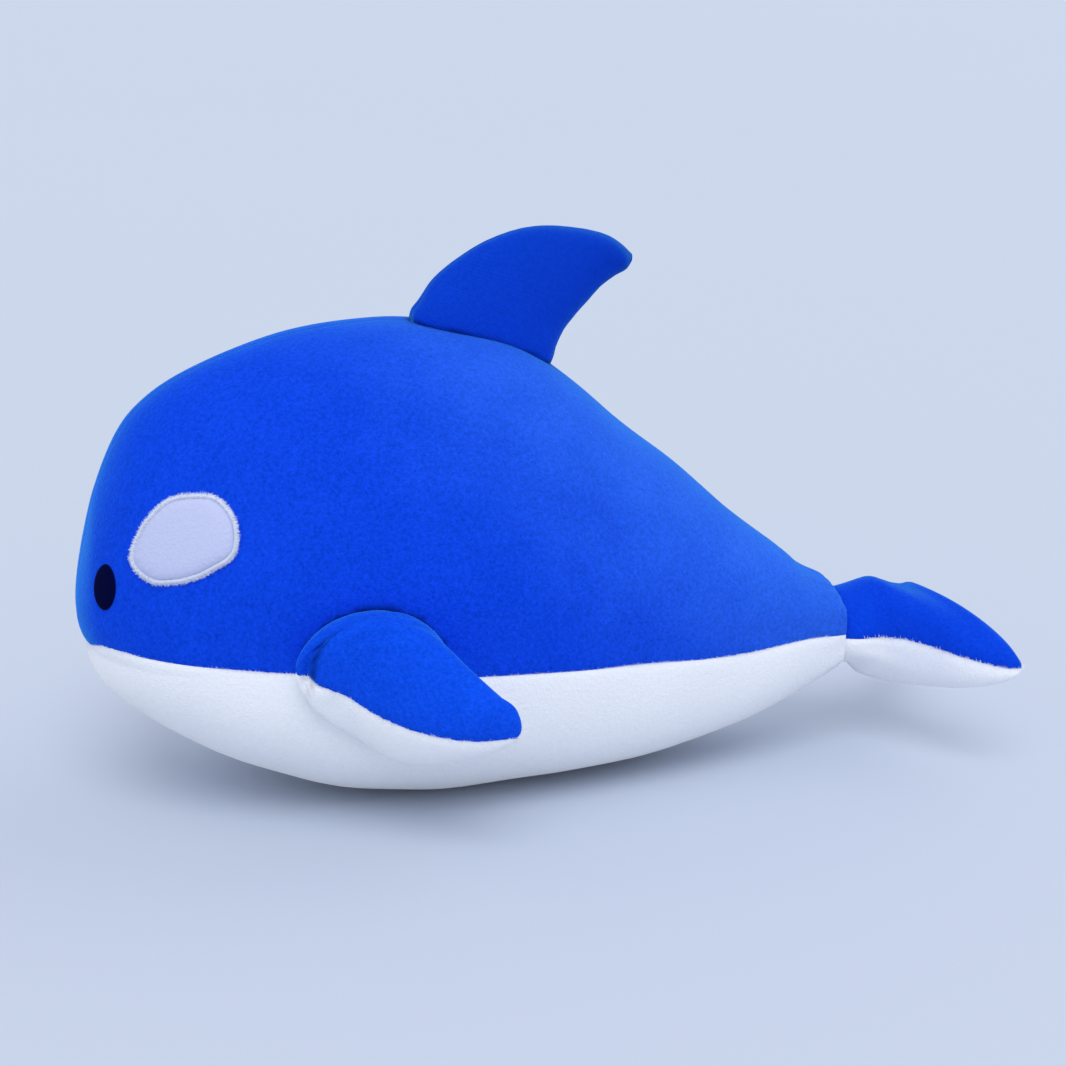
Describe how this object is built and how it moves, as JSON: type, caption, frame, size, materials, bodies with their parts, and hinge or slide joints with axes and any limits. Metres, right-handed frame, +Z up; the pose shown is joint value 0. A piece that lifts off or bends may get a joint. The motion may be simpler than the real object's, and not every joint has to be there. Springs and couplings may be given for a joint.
{
  "type": "plush whale toy",
  "caption": "Stuffed whale toy with a blue back, white belly, dorsal fin, flippers and tail flukes, that rests on its belly.",
  "frame": {"origin": "middle of the length and width, on the floor under the belly", "axes": "+X from the nose to the tail, +Y to the whale's right side, +Z up"},
  "size_m": [0.4642, 0.2986, 0.2783],
  "materials": {
    "blue_velour": "short pile",
    "white_velour": "short pile",
    "patch_velour": "short pile",
    "stitch_thread": "satin thread",
    "eye_felt": "matt",
    "fibre_filling": "loose fibre"
  },
  "bodies": {
    "torso": {"back_left_panel": "blue_velour", "back_right_panel": "blue_velour", "belly_panel": "white_velour", "body_filling": "fibre_filling", "eye_patch_left": "patch_velour", "eye_patch_stitching_left": "stitch_thread", "eye_left": "eye_felt", "eye_patch_right": "patch_velour", "eye_patch_stitching_right": "stitch_thread", "eye_right": "eye_felt"},
    "dorsal_fin": {"dorsal_fin_left_panel": "blue_velour", "dorsal_fin_right_panel": "blue_velour", "dorsal_fin_filling": "fibre_filling"},
    "flipper_left": {"flipper_left_upper_panel": "blue_velour", "flipper_left_lower_panel": "white_velour", "flipper_left_filling": "fibre_filling"},
    "flipper_right": {"flipper_right_upper_panel": "blue_velour", "flipper_right_lower_panel": "white_velour", "flipper_right_filling": "fibre_filling"},
    "tail_flukes": {"tail_upper_panel": "blue_velour", "tail_lower_panel": "white_velour", "tail_filling": "fibre_filling"}
  },
  "joints": [
    {"name": "dorsal_fin_lean", "type": "hinge", "parent": "torso", "child": "dorsal_fin", "pos_m": [-0.02823, 0, 0.22454], "axis": [0.9444, 0, -0.3288], "range_deg": [-15, 15], "stiffness_Nm_per_rad": 0.08},
    {"name": "flipper_left_lift", "type": "hinge", "parent": "torso", "child": "flipper_left", "pos_m": [-0.10088, -0.10758, 0.086], "axis": [-1, 0, 0], "range_deg": [-5, 45], "stiffness_Nm_per_rad": 0.08},
    {"name": "flipper_right_lift", "type": "hinge", "parent": "torso", "child": "flipper_right", "pos_m": [-0.10088, 0.10758, 0.086], "axis": [1, 0, 0], "range_deg": [-5, 45], "stiffness_Nm_per_rad": 0.08},
    {"name": "tail_lift", "type": "hinge", "parent": "torso", "child": "tail_flukes", "pos_m": [0.16512, 0, 0.06173], "axis": [0, -1, 0], "range_deg": [-30, 30], "stiffness_Nm_per_rad": 0.12}
  ]
}
